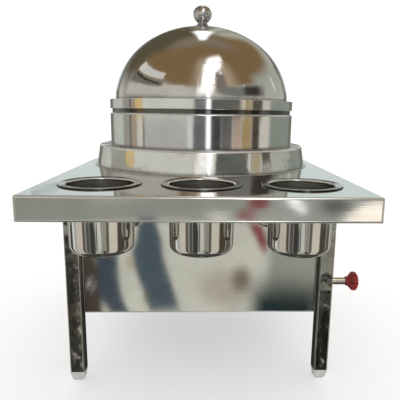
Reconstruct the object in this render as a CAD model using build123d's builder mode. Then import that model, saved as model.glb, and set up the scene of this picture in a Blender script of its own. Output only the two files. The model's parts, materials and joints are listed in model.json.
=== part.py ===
from build123d import *

import os
from math import acos, atan2, cos, degrees, hypot, radians

# Sweet corn machine: a stainless table with three hung bowls, and a steam drum over a gas burner.
# Millimetres. +X is the operator's right, +Y the back, +Z up. The origin is on the floor
# under the middle of the table.

# Driving dimensions: table
table_width = 457.2
table_depth = 609.6
table_height = 353.0
lip_height = 32.4
sheet = 1.2
fold_radius = 3.0
corner_radius = 4.0
lip_hem = 7.6

# Driving dimensions: frame and housing
tube = 24.0
tube_wall = 1.2
tube_corner = 2.4
leg_inset = 8.2
front_overhang = 168.4
foot_height = 18.0
panel_drop = 232.6
panel_setback = 14.4
panel_fold = 7.5
panel_gap = 0.2

# Driving dimensions: serving bowls
bowl_pitch = 144.0
bowl_from_front = 101.0
bowl_depth = 98.6
bowl_brim_radius = 58.3
bowl_mouth_radius = 47.2
bowl_floor_radius = 45.4
spun = 1.0

# Driving dimensions: steam drum, collar, water pan and lid
drum_from_front = 391.5
drum_radius = 178.0
drum_top = 98.2
collar_foot_radius = 204.8
collar_top_radius = 199.0
collar_height = 38.7
neck_radius = 174.3
lid_band_bottom = 105.5
lid_shoulder = 122.6
dome_radius = 167.0
dome_rise = 138.8
pan_radius = 163.5
pan_depth = 85.0

# Driving dimensions: gas valve and burner
valve_from_front = 235.0
valve_drop = 196.6
valve_reach = 165.0
stem_radius = 6.25
spindle_radius = 3.0
knob_start = 262.6
knob_end = 284.0
knob_radius = 17.2
burner_radius = 62.0
burner_seat = 183.0
pipe_radius = 5.0
shaft_clearance = 0.05

# Places worked out from them
front_edge = -table_depth / 2
bowl_y = front_edge + bowl_from_front
drum_y = front_edge + drum_from_front
valve_y = front_edge + valve_from_front
valve_z = table_height - valve_drop
leg_outer_x = table_width / 2 - leg_inset
leg_x = leg_outer_x - tube / 2
front_leg_y = front_edge + front_overhang + tube / 2
rear_leg_y = table_depth / 2 - leg_inset - tube / 2
rail_z = table_height - sheet - tube / 2
leg_top = rail_z - tube / 2
panel_bottom = table_height - panel_drop
panel_top = leg_top - panel_gap
side_panel_x = leg_outer_x - panel_setback
seam_clearance = 0.3
bowl_hole_clearance = 0.6
pan_hole_clearance = 1.5

os.makedirs("parts", exist_ok=True)


def save(part, label):
    """Name a finished piece and write it."""
    part.label = label
    export_step(part, f"parts/{label}.step")


def upright(x, y, z=0.0):
    """Plane through a vertical axis: local x is the radius, local y is the height above z."""
    return Plane(origin=(x, y, z), x_dir=(1, 0, 0), z_dir=(0, -1, 0))


def sideways(y, z):
    """Plane through an axis along X: local x is the radius, local y is the place along X."""
    return Plane(origin=(0, y, z), x_dir=(0, 0, 1), z_dir=(0, 1, 0))


def facing_x(x, y, z):
    """Plane whose normal is +X, with local x along +Y."""
    return Plane(origin=(x, y, z), x_dir=(0, 1, 0), z_dir=(1, 0, 0))


def turned(plane, outline, rounds=()):
    """Solid of revolution about the plane's local y axis, with some corners rounded."""
    with BuildPart() as piece:
        with BuildSketch(plane) as section:
            with BuildLine():
                Polyline(*outline, close=True)
            make_face()
            for corner, radius in rounds:
                fillet(section.vertices().sort_by_distance(corner)[0], radius)
        revolve(axis=Axis(plane.origin, plane.y_dir))
    return piece.part


def square_tube(plane, length):
    """Hollow square tube extruded along the plane's normal."""
    with BuildPart() as bar:
        with BuildSketch(plane):
            RectangleRounded(tube, tube, tube_corner)
            RectangleRounded(
                tube - 2 * tube_wall, tube - 2 * tube_wall, tube_corner - tube_wall, mode=Mode.SUBTRACT
            )
        extrude(amount=length)
    return bar.part


# Table top: one folded sheet, with a hem turned in at the foot of its lip
with BuildPart() as table_top:
    with BuildSketch(Plane.XY.offset(table_height)):
        RectangleRounded(table_width, table_depth, corner_radius)
    extrude(amount=-lip_height)
    fillet(table_top.faces().sort_by(Axis.Z)[-1].edges(), fold_radius)
    offset(amount=-sheet, openings=table_top.faces().sort_by(Axis.Z)[0])
    with BuildSketch(Plane.XY.offset(table_height - lip_height)):
        RectangleRounded(table_width - sheet, table_depth - sheet, corner_radius - sheet / 2)
        Rectangle(table_width - 2 * lip_hem, table_depth - 2 * lip_hem, mode=Mode.SUBTRACT)
    extrude(amount=sheet)
    with BuildSketch(Plane.XY.offset(table_height)):
        with Locations((-bowl_pitch, bowl_y), (0, bowl_y), (bowl_pitch, bowl_y)):
            Circle(bowl_mouth_radius + spun + bowl_hole_clearance)
        with Locations((0, drum_y)):
            Circle(pan_radius + pan_hole_clearance)
    extrude(amount=-sheet, mode=Mode.SUBTRACT)
save(table_top.part, "table_top")

# Rails under the sheet
side_rail_length = table_depth - 2 * leg_inset
cross_rail_length = 2 * (leg_x - tube / 2)
for side, x in (("left", -leg_x), ("right", leg_x)):
    start = Plane(origin=(x, -side_rail_length / 2, rail_z), x_dir=(1, 0, 0), z_dir=(0, 1, 0))
    save(square_tube(start, side_rail_length), f"rail_{side}")
for end, y in (("front", front_leg_y), ("rear", rear_leg_y)):
    start = facing_x(-cross_rail_length / 2, y, rail_z)
    save(square_tube(start, cross_rail_length), f"rail_{end}")


# Plug foot: a stem inside the tube, a square flange and a rounded pad
foot_stem = 15.0
foot_flange = 5.0
foot_pad = 22.4
foot_pad_corner = 6.0
foot_pad_round = 8.0


def plug_foot(x, y):
    with BuildPart() as foot:
        with BuildSketch(Plane(origin=(x, y, 0))):
            RectangleRounded(foot_pad, foot_pad, foot_pad_corner)
        extrude(amount=foot_height - foot_flange)
        fillet(foot.faces().sort_by(Axis.Z)[0].edges(), foot_pad_round)
        with BuildSketch(Plane(origin=(x, y, foot_height - foot_flange))):
            RectangleRounded(tube, tube, tube_corner)
        extrude(amount=foot_flange)
        with BuildSketch(Plane(origin=(x, y, foot_height))):
            stem_width = tube - 2 * tube_wall - seam_clearance
            RectangleRounded(stem_width, stem_width, tube_corner - tube_wall)
        extrude(amount=foot_stem)
    return foot.part


for end, y in (("front", front_leg_y), ("rear", rear_leg_y)):
    for side, x in (("left", -leg_x), ("right", leg_x)):
        start = Plane(origin=(x, y, foot_height))
        save(square_tube(start, leg_top - foot_height), f"leg_{end}_{side}")
        save(plug_foot(x, y), f"foot_{end}_{side}")

# Burner housing: four shallow folded panels between the legs
bar_half_gap = 35.0
bar_width = 25.0
bar_thickness = 3.0
bar_tab = 25.0
bolt_radius = 3.0
bolt_z = burner_seat + 14.0
bar_places = (("front", drum_y - bar_half_gap), ("rear", drum_y + bar_half_gap))
panel_height = panel_top - panel_bottom
panel_mid_z = (panel_top + panel_bottom) / 2
side_panel_width = rear_leg_y - front_leg_y - tube - 2 * panel_gap
side_panel_y = (front_leg_y + rear_leg_y) / 2
end_panel_width = cross_rail_length - 2 * panel_gap


def folded_panel(plane, width):
    """Sheet with all four edges folded back, away from the plane's normal."""
    with BuildPart() as panel:
        with BuildSketch(plane):
            Rectangle(width, panel_height)
        extrude(amount=-panel_fold)
        back = panel.faces().sort_by(Axis(plane.origin, plane.z_dir))[0]
        offset(amount=-sheet, openings=back)
    return panel.part


front_panel_y = front_edge + front_overhang + panel_setback
rear_panel_y = table_depth / 2 - leg_inset - panel_setback
front_plane = Plane(origin=(0, front_panel_y, panel_mid_z), x_dir=(1, 0, 0), z_dir=(0, -1, 0))
rear_plane = Plane(origin=(0, rear_panel_y, panel_mid_z), x_dir=(-1, 0, 0), z_dir=(0, 1, 0))
save(folded_panel(front_plane, end_panel_width), "front_panel")
save(folded_panel(rear_plane, end_panel_width), "rear_panel")

for side, turn in (("left", -1), ("right", 1)):
    plane = Plane(
        origin=(turn * side_panel_x, side_panel_y, panel_mid_z), x_dir=(0, turn, 0), z_dir=(turn, 0, 0)
    )
    with BuildPart() as side_panel:
        add(folded_panel(plane, side_panel_width))
        with BuildSketch(facing_x(turn * side_panel_x, 0, 0)):
            with Locations(*[(y, bolt_z) for end, y in bar_places]):
                Circle(bolt_radius + shaft_clearance)
            if side == "right":
                with Locations((valve_y, valve_z)):
                    Circle(stem_radius + shaft_clearance)
        extrude(amount=-turn * sheet, mode=Mode.SUBTRACT)
    save(side_panel.part, f"{side}_panel")


# Serving bowl: rolled bead round a brim that falls towards the mouth, slightly tapered wall
bead_top = 2.4
bead_width = 2.4
bead_round = 1.1
mouth_top = 1.3
mouth_round = 2.0
edge_round = 0.6
bowl_corner = 11.0


def serving_bowl(x):
    mouth = bowl_mouth_radius
    floor = bowl_floor_radius
    bead_inside = bowl_brim_radius - bead_width
    brim_slope = (bead_top - mouth_top) / (bead_inside - mouth)
    wall_top = mouth_top - spun + brim_slope * spun
    outline = [
        (bead_inside, 0),
        (bowl_brim_radius, 0),
        (bowl_brim_radius, bead_top),
        (bead_inside, bead_top),
        (mouth, mouth_top),
        (floor, spun - bowl_depth),
        (0, spun - bowl_depth),
        (0, -bowl_depth),
        (floor + spun, -bowl_depth),
        (mouth + spun, wall_top),
        (bead_inside, bead_top - spun),
    ]
    rounds = [
        ((bowl_brim_radius, bead_top), bead_round),
        ((bowl_brim_radius, 0), bead_round),
        ((bead_inside, 0), edge_round),
        ((bead_inside, bead_top), bead_round),
        ((mouth, mouth_top), mouth_round),
        ((mouth + spun, wall_top), mouth_round - spun),
        ((floor, spun - bowl_depth), bowl_corner),
        ((floor + spun, -bowl_depth), bowl_corner + spun),
    ]
    return turned(upright(x, bowl_y, table_height), outline, rounds)


for place, x in (("left", -bowl_pitch), ("middle", 0), ("right", bowl_pitch)):
    save(serving_bowl(x), f"bowl_{place}")

# Everything round the drum is drawn from the table top up
drum_plane = upright(0, drum_y, table_height)
skirt_radius = 172.0
skirt_bottom = 8.0
collar_bore = skirt_radius + 1.0
ledge_radius = 160.0

# Collar ring: cone with a welding flange at its foot and a seat at its top
collar_round = 4.0
collar_flange = 2.7
collar = turned(
    drum_plane,
    [
        (collar_foot_radius - sheet, 0),
        (collar_foot_radius + collar_flange, 0),
        (collar_foot_radius + collar_flange, sheet),
        (collar_foot_radius, sheet),
        (collar_top_radius, collar_height),
        (collar_bore, collar_height),
        (collar_bore, collar_height - sheet),
        (collar_top_radius - sheet, collar_height - sheet),
    ],
    [
        ((collar_top_radius, collar_height), collar_round),
        ((collar_top_radius - sheet, collar_height - sheet), collar_round - sheet),
    ],
)
save(collar, "collar_ring")

# Water pan, hung in the table by its brim
pan_brim_radius = 182.0
pan_corner = 15.0
pan = turned(
    drum_plane,
    [
        (pan_radius, 0),
        (pan_brim_radius, 0),
        (pan_brim_radius, sheet),
        (pan_radius - sheet, sheet),
        (pan_radius - sheet, sheet - pan_depth),
        (0, sheet - pan_depth),
        (0, -pan_depth),
        (pan_radius, -pan_depth),
    ],
    [
        ((pan_radius - sheet, sheet - pan_depth), pan_corner - sheet),
        ((pan_radius, -pan_depth), pan_corner),
    ],
)
save(pan, "boiler_pan")

# Steam drum: skirt with a tray ledge, seat flange, wall, rounded shoulder and stepped-in neck
seat_radius = 180.5
shoulder_round = 3.2
neck_top = lid_shoulder - spun
drum = turned(
    drum_plane,
    [
        (ledge_radius, skirt_bottom),
        (skirt_radius, skirt_bottom),
        (skirt_radius, collar_height),
        (seat_radius, collar_height),
        (seat_radius, collar_height + sheet),
        (drum_radius, collar_height + sheet),
        (drum_radius, drum_top),
        (neck_radius, drum_top),
        (neck_radius, neck_top),
        (neck_radius - spun, neck_top),
        (neck_radius - spun, drum_top - spun),
        (drum_radius - spun, drum_top - spun),
        (drum_radius - spun, collar_height + sheet),
        (skirt_radius - spun, collar_height + sheet),
        (skirt_radius - spun, skirt_bottom + spun),
        (ledge_radius, skirt_bottom + spun),
    ],
    [
        ((drum_radius, drum_top), shoulder_round),
        ((drum_radius - spun, drum_top - spun), shoulder_round - spun),
        ((seat_radius, collar_height + sheet), sheet / 2),
    ],
)
save(drum, "steam_drum")

# Corn tray: perforated plate with an upturned rim
tray_radius = skirt_radius - 2 * spun
tray_bottom = skirt_bottom + spun
tray_rim = 16.0
tray_hole_radius = 3.0
tray_ring_step = 24.0
tray_rings = 6
with BuildPart() as corn_tray:
    add(
        turned(
            drum_plane,
            [
                (0, tray_bottom),
                (tray_radius, tray_bottom),
                (tray_radius, tray_bottom + tray_rim),
                (tray_radius - spun, tray_bottom + tray_rim),
                (tray_radius - spun, tray_bottom + spun),
                (0, tray_bottom + spun),
            ],
        )
    )
    with BuildSketch(Plane(origin=(0, drum_y, table_height + tray_bottom))):
        Circle(tray_hole_radius)
        for ring in range(1, tray_rings + 1):
            with PolarLocations(ring * tray_ring_step, 6 * ring):
                Circle(tray_hole_radius)
    extrude(amount=spun, mode=Mode.SUBTRACT)
save(corn_tray.part, "corn_tray")

# Lid dome: half an ellipsoid with a flat seat for the knob and a flat shoulder round its foot
dome_seat_radius = 16.0
screw_radius = 2.5
dome_inner_radius = dome_radius - spun
dome_inner_rise = dome_rise - spun
band_inner_radius = drum_radius - spun
screw_hole_radius = screw_radius + shaft_clearance
outer_sweep = degrees(acos(dome_seat_radius / dome_radius))
inner_sweep = degrees(acos(dome_seat_radius / dome_inner_radius))
drum_axis = Axis(drum_plane.origin, drum_plane.y_dir)
with BuildPart() as lid_dome:
    with BuildSketch(drum_plane):
        with BuildLine():
            outside = EllipticalCenterArc((0, lid_shoulder), dome_radius, dome_rise, arc_size=outer_sweep)
            inside = EllipticalCenterArc(
                (0, lid_shoulder), dome_inner_radius, dome_inner_rise, arc_size=inner_sweep
            )
            seat_top = (outside @ 1).Y
            seat_under = (inside @ 1).Y
            Polyline(
                outside @ 1, (screw_hole_radius, seat_top), (screw_hole_radius, seat_under), inside @ 1
            )
            Polyline(
                outside @ 0,
                (band_inner_radius, lid_shoulder),
                (band_inner_radius, neck_top),
                (dome_inner_radius, neck_top),
                inside @ 0,
            )
        make_face()
    revolve(axis=drum_axis)
save(lid_dome.part, "lid_dome")

# Lid band, hemmed at its lower edge
band_hem = 2.0
band = turned(
    drum_plane,
    [
        (band_inner_radius, lid_shoulder),
        (drum_radius, lid_shoulder),
        (drum_radius, lid_band_bottom),
        (drum_radius - band_hem, lid_band_bottom),
        (drum_radius - band_hem, lid_band_bottom + band_hem),
        (band_inner_radius, lid_band_bottom + band_hem),
    ],
    [((drum_radius, lid_shoulder), edge_round), ((drum_radius, lid_band_bottom), edge_round)],
)
save(band, "lid_band")

# Lid knob: a ball that tapers like a bulb to a waist over a flared foot, with a small flat on its crown
ball_radius = 17.9
ball_rise = 15.4
ball_height = 24.4
knob_waist_radius = 7.7
knob_waist_height = 7.2
knob_waist_round = 2.4
knob_foot_radius = 15.3
knob_foot_rim = 0.8
knob_crown_radius = 2.0
screw_engagement = 10.0
knob_bore_top = seat_top + screw_engagement + 1
ball_middle = (0, seat_top + ball_height)
waist = (knob_waist_radius, seat_top + knob_waist_height)
waist_drop = ball_height - knob_waist_height
waist_sweep = degrees(atan2(waist_drop, knob_waist_radius))
taper_sweep = waist_sweep - degrees(acos(ball_radius / hypot(waist_drop, knob_waist_radius)))
crown_sweep = degrees(acos(knob_crown_radius / ball_radius))
with BuildPart() as lid_knob:
    with BuildSketch(drum_plane) as knob_section:
        with BuildLine():
            crown = EllipticalCenterArc(ball_middle, ball_radius, ball_rise, arc_size=crown_sweep)
            belly = CenterArc(ball_middle, ball_radius, -taper_sweep, taper_sweep)
            Polyline(
                belly @ 0,
                waist,
                (knob_foot_radius, seat_top + knob_foot_rim),
                (knob_foot_radius, seat_top),
                (screw_hole_radius, seat_top),
                (screw_hole_radius, knob_bore_top),
                (0, knob_bore_top),
                (0, (crown @ 1).Y),
                crown @ 1,
            )
        make_face()
        fillet(knob_section.vertices().sort_by_distance(waist)[0], knob_waist_round)
    revolve(axis=drum_axis)
save(lid_knob.part, "lid_knob")

# Screw and washer that hold the knob from inside the dome
washer_radius = 10.0
washer_thickness = 1.5
screw_head_radius = 5.0
screw_head_height = 4.0
screw_head_round = 1.5
washer_bottom = seat_under - washer_thickness
washer = turned(
    drum_plane,
    [
        (screw_hole_radius, washer_bottom),
        (washer_radius, washer_bottom),
        (washer_radius, seat_under),
        (screw_hole_radius, seat_under),
    ],
)
save(washer, "lid_washer")
screw = turned(
    drum_plane,
    [
        (0, seat_top + screw_engagement),
        (screw_radius, seat_top + screw_engagement),
        (screw_radius, washer_bottom),
        (screw_head_radius, washer_bottom),
        (screw_head_radius, washer_bottom - screw_head_height),
        (0, washer_bottom - screw_head_height),
    ],
    [((screw_head_radius, washer_bottom - screw_head_height), screw_head_round)],
)
save(screw, "lid_screw")

# Burner: cast bowl with a throat and a side boss, under a drilled cap
burner_plane = upright(0, drum_y)
throat_radius = 20.0
throat_bore = 14.0
boss_radius = 18.4
boss_end = 36.0
bowl_wall = 6.0
burner_bowl_height = 23.0
burner_bowl_round = 5.0
burner_rim = burner_seat + burner_bowl_height
throat_bottom = valve_z - boss_radius
mixing_radius = 16.0
mixing_bore = 14.0
mixing_start = 20.5
boss_bore = 12.0
with BuildPart() as burner_bowl:
    add(
        turned(
            burner_plane,
            [
                (0, throat_bottom),
                (throat_radius, throat_bottom),
                (throat_radius, burner_seat),
                (burner_radius, burner_seat),
                (burner_radius, burner_rim),
                (0, burner_rim),
            ],
            [((burner_radius, burner_seat), burner_bowl_round)],
        )
    )
    with BuildSketch(facing_x(0, drum_y, valve_z)):
        Circle(boss_radius)
    extrude(amount=boss_end)
    add(
        turned(
            burner_plane,
            [
                (0, throat_bottom + bowl_wall),
                (throat_bore, throat_bottom + bowl_wall),
                (throat_bore, burner_seat + bowl_wall),
                (burner_radius - bowl_wall, burner_seat + bowl_wall),
                (burner_radius - bowl_wall, burner_rim),
                (0, burner_rim),
            ],
        ),
        mode=Mode.SUBTRACT,
    )
    with BuildSketch(facing_x(0, drum_y, valve_z)):
        Circle(boss_bore)
    extrude(amount=boss_end, mode=Mode.SUBTRACT)
    with BuildSketch(facing_x(mixing_start, drum_y, valve_z)):
        Circle(mixing_radius + shaft_clearance)
    extrude(amount=boss_end - mixing_start, mode=Mode.SUBTRACT)
save(burner_bowl.part, "burner_bowl")

cap_thickness = 8.0
cap_recess = 2.0
cap_spigot = 3.0
cap_spigot_wall = 4.0
cap_bevel_width = 5.0
cap_bevel_height = 3.0
cap_clearance = 0.5
cap_spigot_radius = burner_radius - bowl_wall - cap_clearance
cap_recess_radius = cap_spigot_radius - cap_spigot_wall
port_radius = 1.5
port_rings = ((24.0, 12), (36.0, 20), (48.0, 28))
with BuildPart() as burner_cap:
    add(
        turned(
            burner_plane,
            [
                (0, burner_rim + cap_recess),
                (cap_recess_radius, burner_rim + cap_recess),
                (cap_recess_radius, burner_rim - cap_spigot),
                (cap_spigot_radius, burner_rim - cap_spigot),
                (cap_spigot_radius, burner_rim),
                (burner_radius, burner_rim),
                (burner_radius, burner_rim + cap_thickness - cap_bevel_height),
                (burner_radius - cap_bevel_width, burner_rim + cap_thickness),
                (0, burner_rim + cap_thickness),
            ],
        )
    )
    with BuildSketch(Plane(origin=(0, drum_y, burner_rim))):
        for ring_radius, count in port_rings:
            with PolarLocations(ring_radius, count):
                Circle(port_radius)
    extrude(amount=cap_thickness, mode=Mode.SUBTRACT)
save(burner_cap.part, "burner_cap")

# Mixing tube with a flared mouth, facing the jet
mouth_x = 108.0
mouth_flare = 6.0
mouth_straight = 6.0
flare_length = 16.0
flare_end = mouth_x - mouth_straight
flare_start = flare_end - flare_length
burner_axis_plane = sideways(drum_y, valve_z)
mixing = turned(
    burner_axis_plane,
    [
        (mixing_bore, mixing_start),
        (mixing_radius, mixing_start),
        (mixing_radius, flare_start),
        (mixing_radius + mouth_flare, flare_end),
        (mixing_radius + mouth_flare, mouth_x),
        (mixing_bore + mouth_flare, mouth_x),
        (mixing_bore + mouth_flare, flare_end),
        (mixing_bore, flare_start),
    ],
)
save(mixing, "mixing_tube")

# Burner bars: flat strips across the housing, their ends turned up and bolted to the side panels
panel_inside = side_panel_x - sheet
tab_inside = panel_inside - bar_thickness
for end, y in bar_places:
    with BuildPart() as burner_bar:
        with BuildSketch(Plane(origin=(0, y, 0), x_dir=(1, 0, 0), z_dir=(0, -1, 0))):
            with BuildLine():
                Polyline(
                    (-panel_inside, burner_seat + bar_tab),
                    (-panel_inside, burner_seat - bar_thickness),
                    (panel_inside, burner_seat - bar_thickness),
                    (panel_inside, burner_seat + bar_tab),
                    (tab_inside, burner_seat + bar_tab),
                    (tab_inside, burner_seat),
                    (-tab_inside, burner_seat),
                    (-tab_inside, burner_seat + bar_tab),
                    close=True,
                )
            make_face()
        extrude(amount=bar_width / 2, both=True)
        with BuildSketch(facing_x(0, y, bolt_z)):
            Circle(bolt_radius + shaft_clearance)
        extrude(amount=panel_inside, both=True, mode=Mode.SUBTRACT)
    save(burner_bar.part, f"burner_bar_{end}")

bolt_flats = 10.0
bolt_head = 4.0
bolt_length = 12.0
nut_thickness = 5.0


def hexagon_radius(flats):
    return flats / 2 / cos(radians(30))


with BuildPart() as bar_bolts:
    for turn in (-1, 1):
        bolt_points = [(y, bolt_z) for end, y in bar_places]
        with BuildSketch(facing_x(turn * side_panel_x, 0, 0)):
            with Locations(*bolt_points):
                RegularPolygon(hexagon_radius(bolt_flats), 6)
        extrude(amount=turn * bolt_head)
        with BuildSketch(facing_x(turn * side_panel_x, 0, 0)):
            with Locations(*bolt_points):
                Circle(bolt_radius)
        extrude(amount=-turn * bolt_length)
save(bar_bolts.part, "bar_bolts")

with BuildPart() as bar_nuts:
    for turn in (-1, 1):
        with BuildSketch(facing_x(turn * tab_inside, 0, 0)):
            with Locations(*[(y, bolt_z) for end, y in bar_places]):
                RegularPolygon(hexagon_radius(bolt_flats), 6)
                Circle(bolt_radius + shaft_clearance, mode=Mode.SUBTRACT)
        extrude(amount=-turn * nut_thickness)
save(bar_nuts.part, "bar_nuts")

# Needle valve body: chamber along X, outlet to the back, inlet from below
body_radius = 11.0
body_back = 15.0
body_front = 17.0
chamber_gap = 0.5
chamber_radius = spindle_radius + chamber_gap
chamber_start = valve_reach - 9.0
bonnet_thread = 7.0
bonnet_start = valve_reach + 7.0
port_length = 18.0
port_socket = 8.0
outlet_radius = 8.0
inlet_radius = 9.0
spigot_thread = 6.0
gas_bore = 3.0
valve_point = (valve_reach, valve_y, valve_z)
outlet_plane = Plane(origin=valve_point, x_dir=(1, 0, 0), z_dir=(0, 1, 0))
inlet_plane = Plane(origin=valve_point, x_dir=(1, 0, 0), z_dir=(0, 0, -1))
body_end = valve_reach + body_front
with BuildPart() as valve_body:
    with BuildSketch(facing_x(valve_reach - body_back, valve_y, valve_z)):
        Circle(body_radius)
    extrude(amount=body_back + body_front)
    with BuildSketch(outlet_plane):
        Circle(outlet_radius)
    extrude(amount=port_length)
    with BuildSketch(inlet_plane):
        Circle(inlet_radius)
    extrude(amount=port_length)
    with BuildSketch(facing_x(chamber_start, valve_y, valve_z)):
        Circle(chamber_radius)
    extrude(amount=body_end - chamber_start, mode=Mode.SUBTRACT)
    with BuildSketch(facing_x(bonnet_start, valve_y, valve_z)):
        Circle(bonnet_thread + shaft_clearance)
    extrude(amount=body_end - bonnet_start, mode=Mode.SUBTRACT)
    for plane, socket_radius in ((outlet_plane, pipe_radius), (inlet_plane, spigot_thread)):
        with BuildSketch(plane):
            Circle(gas_bore)
        extrude(amount=port_length, mode=Mode.SUBTRACT)
        with BuildSketch(plane.offset(port_length - port_socket)):
            Circle(socket_radius + shaft_clearance)
        extrude(amount=port_socket, mode=Mode.SUBTRACT)
save(valve_body.part, "valve_body")

# Hose spigot: plain round end for the gas hose, screwed into the valve from below
spigot_flats = 17.0
spigot_collar = 7.0
spigot_radius = 5.0
spigot_length = 24.0
spigot_chamfer = 1.2
with BuildPart() as hose_spigot:
    with BuildSketch(inlet_plane.offset(port_length - port_socket + panel_gap)):
        Circle(spigot_thread)
    extrude(amount=port_socket - panel_gap)
    with BuildSketch(inlet_plane.offset(port_length)):
        RegularPolygon(hexagon_radius(spigot_flats), 6)
    extrude(amount=spigot_collar)
    with BuildSketch(inlet_plane.offset(port_length + spigot_collar)):
        Circle(spigot_radius)
    extrude(amount=spigot_length)
    chamfer(hose_spigot.faces().sort_by(Axis.Z)[0].edges(), spigot_chamfer)
    with BuildSketch(inlet_plane):
        Circle(gas_bore)
    extrude(amount=port_length + spigot_collar + spigot_length, mode=Mode.SUBTRACT)
save(hose_spigot.part, "hose_spigot")

# Gas pipe from the valve outlet to the jet holder, bent once
pipe_bore = 3.6
pipe_bend = 14.0
pipe_straight = 10.8
pipe_start_y = valve_y + port_length - port_socket + panel_gap
pipe_end_x = valve_reach - pipe_bend - pipe_straight
with BuildPart() as gas_pipe:
    with BuildLine():
        FilletPolyline(
            (valve_reach, pipe_start_y, valve_z),
            (valve_reach, drum_y, valve_z),
            (pipe_end_x, drum_y, valve_z),
            radius=pipe_bend,
        )
    with BuildSketch(outlet_plane.offset(pipe_start_y - valve_y)):
        Circle(pipe_radius)
        Circle(pipe_bore, mode=Mode.SUBTRACT)
    sweep()
save(gas_pipe.part, "gas_pipe")

# Jet holder and jet, in line with the mixing tube
holder_radius = 9.0
holder_round = 1.0
holder_length = 20.0
socket_depth = 10.0
socket_start = pipe_end_x - panel_gap
holder_end = socket_start + socket_depth
holder_start = holder_end - holder_length
jet_thread = 3.0
jet_thread_length = 7.0
jet_head_radius = 5.0
jet_nose_radius = 2.0
jet_nose_length = 6.0
jet_bore = 0.6
jet_tip = mouth_x + 8.0
holder = turned(
    burner_axis_plane,
    [
        (jet_thread + shaft_clearance, holder_start),
        (holder_radius, holder_start),
        (holder_radius, holder_end),
        (pipe_radius + shaft_clearance, holder_end),
        (pipe_radius + shaft_clearance, socket_start),
        (jet_thread + shaft_clearance, socket_start),
    ],
    [((holder_radius, holder_start), holder_round), ((holder_radius, holder_end), holder_round)],
)
save(holder, "jet_holder")
jet = turned(
    burner_axis_plane,
    [
        (jet_bore, jet_tip),
        (jet_nose_radius, jet_tip),
        (jet_head_radius, jet_tip + jet_nose_length),
        (jet_head_radius, holder_start),
        (jet_thread, holder_start),
        (jet_thread, holder_start + jet_thread_length),
        (jet_bore, holder_start + jet_thread_length),
    ],
)
save(jet, "gas_jet")

# Bonnet: long round stem through the right panel, clamped by two lock nuts
valve_axis_plane = sideways(valve_y, valve_z)
running_radius = spindle_radius + shaft_clearance
knob_gap = 0.6
gland_length = 8.0
gland_round = 1.2
gland_end = knob_start - knob_gap
bonnet_end = gland_end - gland_length
bonnet_collar = 8.5
bonnet_collar_length = 5.0
bonnet_collar_end = body_end + bonnet_collar_length
bonnet = turned(
    valve_axis_plane,
    [
        (running_radius, bonnet_start + panel_gap),
        (bonnet_thread, bonnet_start + panel_gap),
        (bonnet_thread, body_end),
        (bonnet_collar, body_end),
        (bonnet_collar, bonnet_collar_end),
        (stem_radius, bonnet_collar_end),
        (stem_radius, bonnet_end),
        (running_radius, bonnet_end),
    ],
)
save(bonnet, "valve_bonnet")
gland = turned(
    valve_axis_plane,
    [
        (running_radius, bonnet_end),
        (stem_radius, bonnet_end),
        (stem_radius, gland_end),
        (running_radius, gland_end),
    ],
    [((stem_radius, gland_end), gland_round)],
)
save(gland, "gland_nut")

lock_nut_flats = 19.0
lock_nut = 5.0
with BuildPart() as bonnet_lock_nuts:
    for x in (panel_inside - lock_nut, side_panel_x):
        with BuildSketch(facing_x(x, valve_y, valve_z)):
            RegularPolygon(hexagon_radius(lock_nut_flats), 6)
            Circle(stem_radius + shaft_clearance, mode=Mode.SUBTRACT)
        extrude(amount=lock_nut)
save(bonnet_lock_nuts.part, "bonnet_lock_nuts")

# Spindle with a needle point, its knob and the screw that holds the knob on
spindle_end = knob_end - 10.0
spindle_tip = chamber_start + 3.0
needle_radius = 1.0
needle_length = 6.0
knob_screw_radius = 1.5
knob_screw_depth = 10.0
knob_screw_head = 2.0
knob_screw_head_radius = 3.5
knob_recess = 4.2
knob_recess_depth = 3.0
recess_floor = knob_end - knob_recess_depth
screw_bore = knob_screw_radius + shaft_clearance
spindle = turned(
    valve_axis_plane,
    [
        (0, spindle_tip),
        (needle_radius, spindle_tip),
        (spindle_radius, spindle_tip + needle_length),
        (spindle_radius, spindle_end),
        (screw_bore, spindle_end),
        (screw_bore, spindle_end - knob_screw_depth),
        (0, spindle_end - knob_screw_depth),
    ],
)
save(spindle, "valve_spindle")

knob_hub = 8.0
knob_waist = 9.0
knob_waist_x = knob_start + 4.5
knob_rim_start = knob_end - 9.5
knob_rim_end = knob_end - 4.4
knob_crown = 0.9
knob_face_radius = knob_radius - 4.0
knob_flutes = 10
flute_radius = 3.6
flute_circle = knob_radius + 1.6
knob_fit = 0.02
knob_bore = spindle_radius + knob_fit
with BuildPart() as valve_knob:
    add(
        turned(
            valve_axis_plane,
            [
                (knob_bore, knob_start),
                (knob_hub, knob_start),
                (knob_waist, knob_waist_x),
                (knob_radius, knob_rim_start),
                (knob_radius, knob_rim_end),
                (knob_face_radius, knob_end - knob_crown),
                (knob_recess, knob_end),
                (knob_recess, recess_floor),
                (screw_bore, recess_floor),
                (screw_bore, spindle_end + panel_gap),
                (knob_bore, spindle_end + panel_gap),
            ],
            [
                ((knob_hub, knob_start), 1.0),
                ((knob_waist, knob_waist_x), 4.0),
                ((knob_radius, knob_rim_start), 1.5),
                ((knob_radius, knob_rim_end), 2.0),
            ],
        )
    )
    with BuildSketch(facing_x(knob_start, valve_y, valve_z)):
        with PolarLocations(flute_circle, knob_flutes):
            Circle(flute_radius)
    extrude(amount=knob_end - knob_start, mode=Mode.SUBTRACT)
save(valve_knob.part, "valve_knob")

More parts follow.
